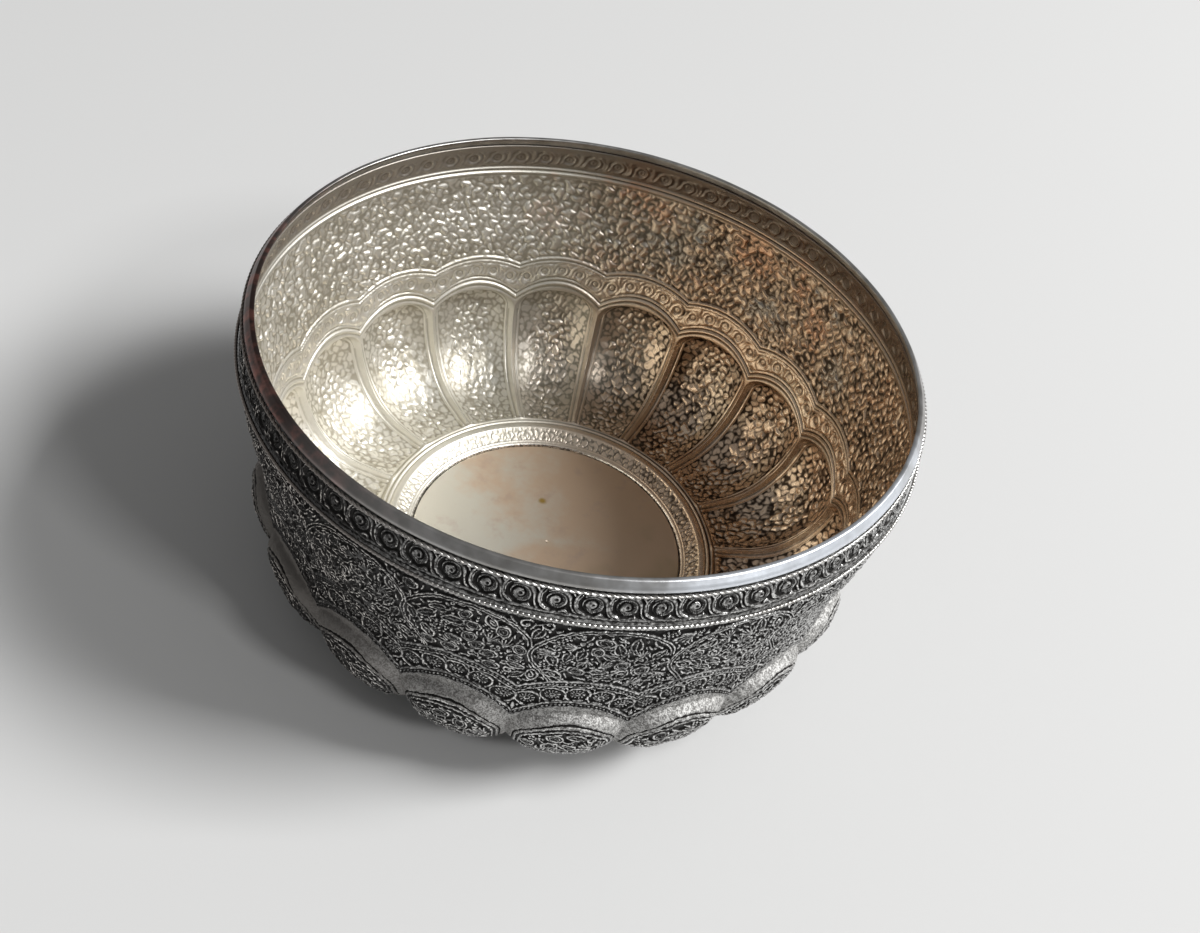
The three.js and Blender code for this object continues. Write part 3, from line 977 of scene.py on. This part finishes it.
satin, start, shader = new_silver("floor_silver_finish")
east, north, _ = compass(start)
cloud = start.noise(30, 5, 0.6)
small_cloud = start.noise(160, 4, 0.6)
scratch = start.noise(500, 2, 0.5, (0.06, 1.2, 1))
STAIN = (-0.0065, 0.0145, 0.002)
place = start.node("ShaderNodeTexCoord", {}, {}, output="Object")
spot = start.node("ShaderNodeVectorMath", {"operation": "DISTANCE"}, {0: place, 1: STAIN},
                  output="Value")
stain = 1 - (spot + (small_cloud - 0.5) * 0.0022).between(0.0006, 0.0019)
tone = (cloud * 0.8 + small_cloud * 0.2 + east * 7.0 + north * 3.4).between(0.32, 0.56)
floor_colour = tone.mix((0.8, 0.77, 0.68), (0.77, 0.6, 0.45))
olive = start.noise(44, 3, 0.5).between(0.5, 0.7) * (east * 30 - north * 20).between(0.1, 0.9)
floor_colour = (olive * 0.5).mix(floor_colour, (0.42, 0.36, 0.2))
floor_colour = (small_cloud.between(0.55, 0.75) * 0.35).mix(floor_colour, (0.62, 0.48, 0.42))
floor_colour = stain.mix(floor_colour, (0.5, 0.34, 0.1))
feed(floor_colour, shader, "Base Color")
feed(0.46 + cloud * 0.12 + scratch * 0.06, shader, "Roughness")
shader.inputs["Metallic"].default_value = 0.96
bumps = start.node("ShaderNodeBump", {}, {"Strength": 0.2, "Distance": 0.0001,
                                          "Height": small_cloud + scratch * 0.5})
feed(bumps, shader, "Normal")
disc.data.materials.append(satin)


# The lip band is a strip of thicker sheet soldered on the wall's edge. Its face slopes out to
# the twisted wire, and it is plain, polished by use and finely scratched along its length.
lip_low, lip_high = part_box("lip_band")
LIP_BOTTOM = lip_low[2] / MM
LIP_TOP = lip_high[2] / MM
LIP_FOOT = lip_high[0] / MM
lip_edge = LIP_FOOT - 1.9
lip_section = [
    (lip_edge + 0.2, LIP_BOTTOM), (LIP_FOOT - 0.25, LIP_BOTTOM), (LIP_FOOT - 0.05, LIP_BOTTOM + 0.08),
    (LIP_FOOT - 0.02, LIP_BOTTOM + 0.25), (LIP_FOOT - 0.3, LIP_BOTTOM + 0.8),
    (LIP_FOOT - 0.68, LIP_BOTTOM + 1.4),
    (lip_edge + 0.62, LIP_TOP - 0.22), (lip_edge + 0.52, LIP_TOP - 0.07), (lip_edge + 0.35, LIP_TOP),
    (lip_edge - 0.25, LIP_TOP), (lip_edge - 0.45, LIP_TOP - 0.07), (lip_edge - 0.55, LIP_TOP - 0.25),
    (lip_edge - 0.3, LIP_TOP - 1.0), (lip_edge + 0.1, LIP_BOTTOM + 0.3),
]
LIP_COLUMNS = 720
lip_turns = np.arange(LIP_COLUMNS) / LIP_COLUMNS * 2 * math.pi
unevenness = (0.035 * np.sin(lip_turns * 5 + 1) + 0.03 * np.sin(lip_turns * 11 + 2)
              + 0.02 * np.sin(lip_turns * 23))
lip_rings = []
for radius, height in lip_section:
    out = radius + 0.4 * unevenness - 0.03
    rise = unevenness * 0.6 - 0.05 if height > LIP_BOTTOM + 1 else 0
    lip_rings.append(np.stack([out * np.cos(lip_turns), out * np.sin(lip_turns),
                               height + rise + 0 * out], -1))
lip = closed_rings("lip", np.array(lip_rings[::-1]))
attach(lip, "root")
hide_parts("lip_band")

polished, start, shader = new_silver("polished_silver_finish")
cloud = start.noise(60, 4, 0.6)
scratch = start.noise(700, 3, 0.6, (1, 1, 0.35))
smudge = start.noise(240, 3, 0.55)
east, north, _ = compass(start)
# Painted shade over the left front of the lip, as on the wall.
left_front_shade = left_front_shade_reach(east, north, (cloud - 0.5) * 0.3, 0.55, 1.0)
# Painted reflection: a bluish-white band on the lip's right front.
lip_reflection_side = (east * 9.9 - north * 6.9 + (cloud - 0.5) * 0.4).between(0.75, 1.0)
lip_cloud = (cloud * 0.6 + smudge * 0.4).between(0.35, 0.65)
lip_colour = lip_cloud.mix((0.36, 0.35, 0.335), (0.52, 0.515, 0.505))
lip_colour = lip_reflection_side.mix(lip_colour, (0.83, 0.87, 0.93))
# Painted shade with a dark reddish painted reflection on the lip's left front.
lip_shade_colour = smudge.between(0.45, 0.65).mix((0.07, 0.045, 0.04), (0.23, 0.1, 0.08))
feed(left_front_shade.mix(lip_colour, lip_shade_colour), shader, "Base Color")
feed(0.27 + smudge * 0.14 + scratch * 0.08, shader, "Roughness")
shader.inputs["Metallic"].default_value = 1.0
bumps = start.node("ShaderNodeBump", {}, {"Strength": 0.25, "Distance": 0.00008,
                                          "Height": scratch + smudge})
feed(bumps, shader, "Normal")
lip.data.materials.append(polished)


# The rope wire is two round wires twisted together and soldered right under the lip.
ROPE_HEIGHT = 81.0
ROPE_TWISTS, TWIST_STEPS = 176, 12
STRAND_RADIUS = 0.26
STRAND_OFFSET = 0.2
STRAND_SIDES = 8
_, rope_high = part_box("rope_wire")
rope_middle = rope_high[0] / MM - 0.58


def twisted_strand(name, side):
    """One strand of the rope: a round tube that winds about the rope's own middle line."""
    steps = ROPE_TWISTS * TWIST_STEPS
    a = np.arange(steps) / steps * 2 * math.pi
    wind = a * ROPE_TWISTS + side * math.pi
    corner = np.arange(STRAND_SIDES) / STRAND_SIDES * 2 * math.pi
    radius = rope_middle + STRAND_OFFSET * np.cos(wind) + STRAND_RADIUS * np.cos(corner)[:, None]
    height = ROPE_HEIGHT - STRAND_OFFSET * np.sin(wind) + STRAND_RADIUS * np.sin(corner)[:, None]
    points = np.stack([radius * np.cos(a), radius * np.sin(a), height], -1)
    return closed_rings(name, points[::-1])


wire_silver, start, shader = new_silver("wire_silver_finish")
cloud = start.noise(50, 3)
grit = start.noise(1400, 2)
east, north, _ = compass(start)
# Painted shade over the left front of the wires, as on the wall.
left_front_shade = left_front_shade_reach(east, north, (cloud - 0.5) * 0.5, 0.35, 0.95)
wire_wear = (cloud * 0.5 + grit * 0.5).between(0.35, 0.62)
wire_colour = wire_wear.mix((0.34, 0.325, 0.305), (0.74, 0.735, 0.72))
feed(left_front_shade.mix(wire_colour, (0.24, 0.21, 0.19)), shader, "Base Color")
feed(0.24 + grit * 0.16, shader, "Roughness")
shader.inputs["Metallic"].default_value = 1.0
bumps = start.node("ShaderNodeBump", {}, {"Strength": 0.3, "Distance": 0.0001, "Height": grit})
feed(bumps, shader, "Normal")
for side in range(2):
    strand = twisted_strand(f"rope_strand_{side + 1}", side)
    strand.data.materials.append(wire_silver)
    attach(strand, "root")
    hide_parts("rope_wire")


# The beaded wire is a round wire rolled in a die into a string of beads, soldered in its
# groove under the scroll band.
BEAD_HEIGHT = 73.0
BEADS = 470
BEAD_STEPS = 10
BEAD_SIDES = 10
_, bead_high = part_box("beaded_wire")
bead_middle = bead_high[0] / MM - 0.4
bead_turn = np.arange(BEADS * BEAD_STEPS) / (BEADS * BEAD_STEPS) * 2 * math.pi
bead_phase = (np.arange(BEADS * BEAD_STEPS) % BEAD_STEPS + 0.5) / BEAD_STEPS * 2 - 1
bead_size = 0.17 + 0.27 * np.sqrt(1 - np.abs(bead_phase) ** 2.4)
bead_corner = np.arange(BEAD_SIDES) / BEAD_SIDES * 2 * math.pi
bead_radius = bead_middle - 0.18 + bead_size[None, :] * np.cos(bead_corner)[:, None]
bead_level = BEAD_HEIGHT + bead_size[None, :] * np.sin(bead_corner)[:, None]
bead_rings = np.stack([bead_radius * np.cos(bead_turn), bead_radius * np.sin(bead_turn),
                       bead_level], -1)
beads = closed_rings("beads", bead_rings[::-1])
beads.data.materials.append(wire_silver)
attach(beads, "root")
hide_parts("beaded_wire")


# The pale floor that the bowl stands on, and a soft studio light: one large lamp high on the
# right, a weaker one in front on the right, and an even grey surround.
bpy.ops.mesh.primitive_plane_add(size=14, location=(0, 0, -0.0002))
floor = bpy.context.active_object
floor.name = "floor"
floor_finish, start, shader = new_silver("floor_paint")
shader.inputs["Base Color"].default_value = (0.64, 0.64, 0.635, 1)
shader.inputs["Roughness"].default_value = 0.85
floor.data.materials.append(floor_finish)


def softbox(name, turn, rise, distance, size, power):
    """A square lamp that far away, at an azimuth and elevation in degrees, aimed at the bowl."""
    data = bpy.data.lights.new(name, "AREA")
    data.size = size
    data.energy = power
    lamp = bpy.data.objects.new(name, data)
    turn, rise = math.radians(turn), math.radians(rise)
    way = Vector((math.cos(turn) * math.cos(rise), math.sin(turn) * math.cos(rise), math.sin(rise)))
    lamp.location = way * distance + Vector((0, 0, 0.04))
    lamp.rotation_euler = way.to_track_quat("Z", "Y").to_euler()
    bpy.context.scene.collection.objects.link(lamp)


softbox("window_lamp", 14, 45, 4.5, 1.5, 240)
softbox("front_lamp", -24, 40, 3.0, 0.42, 20)
world = bpy.data.worlds.new("surround")
world.use_nodes = True
world.node_tree.nodes["Background"].inputs["Color"].default_value = (0.5, 0.5, 0.5, 1)
world.node_tree.nodes["Background"].inputs["Strength"].default_value = 0.42
bpy.context.scene.world = world
bpy.context.scene.view_settings.view_transform = "Standard"


# The camera stands where the photograph was taken from, above the front and turned a little
# about its own axis.
camera_data = bpy.data.cameras.new("camera")
camera_data.sensor_width = 36
camera_data.lens = 36.867
camera = bpy.data.objects.new("camera", camera_data)
camera.matrix_world = Matrix((
    (0.93803, -0.33411, 0.09202, 0.039392),
    (0.29673, 0.63718, -0.7113, -0.232169),
    (0.17903, 0.69453, 0.69683, 0.264869),
    (0, 0, 0, 1),
))
bpy.context.scene.collection.objects.link(camera)
bpy.context.scene.camera = camera
